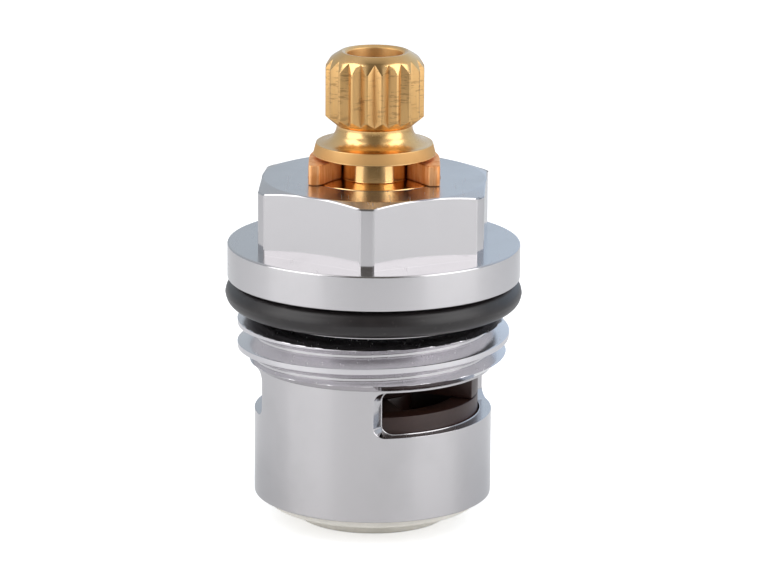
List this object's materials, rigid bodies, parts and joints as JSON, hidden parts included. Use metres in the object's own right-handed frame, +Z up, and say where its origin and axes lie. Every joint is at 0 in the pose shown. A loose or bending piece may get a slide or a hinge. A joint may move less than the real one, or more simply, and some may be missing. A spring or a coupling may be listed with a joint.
{
  "type": "faucet stem",
  "caption": "Quarter-turn ceramic-disc faucet stem: splined brass spindle in a chromed hexagon housing with flange, side ports, ceramic discs and lower seal.",
  "frame": {"origin": "on the spindle's axis, at the lower end of the seal's lip", "axes": "+Z up along the spindle towards its splined head, -Y towards the side that the picture shows, +X to that side's right"},
  "size_m": [0.0226, 0.0226, 0.0363],
  "materials": {
    "chrome_plate": "polished",
    "brass": "satin",
    "bronze": "satin",
    "black_rubber": "satin",
    "white_plastic": "matte",
    "brown_ceramic": "polished",
    "white_rubber": "satin",
    "grey_plastic": "matte"
  },
  "bodies": {
    "housing": {"housing": "chrome_plate", "flange_o_ring": "black_rubber", "friction_washer": "white_plastic", "fixed_disc": "brown_ceramic", "lower_seal": "white_rubber", "seal_support_ring": "grey_plastic"},
    "spindle": {"spindle": "brass", "retaining_clip": "bronze", "upper_spindle_o_ring": "black_rubber", "lower_spindle_o_ring": "black_rubber", "moving_disc": "brown_ceramic"}
  },
  "joints": [
    {"name": "spindle_turn", "type": "hinge", "parent": "housing", "child": "spindle", "pos_m": [0, 0, 0.0265], "axis": [0, 0, 1], "range_deg": [-58, 32]}
  ]
}
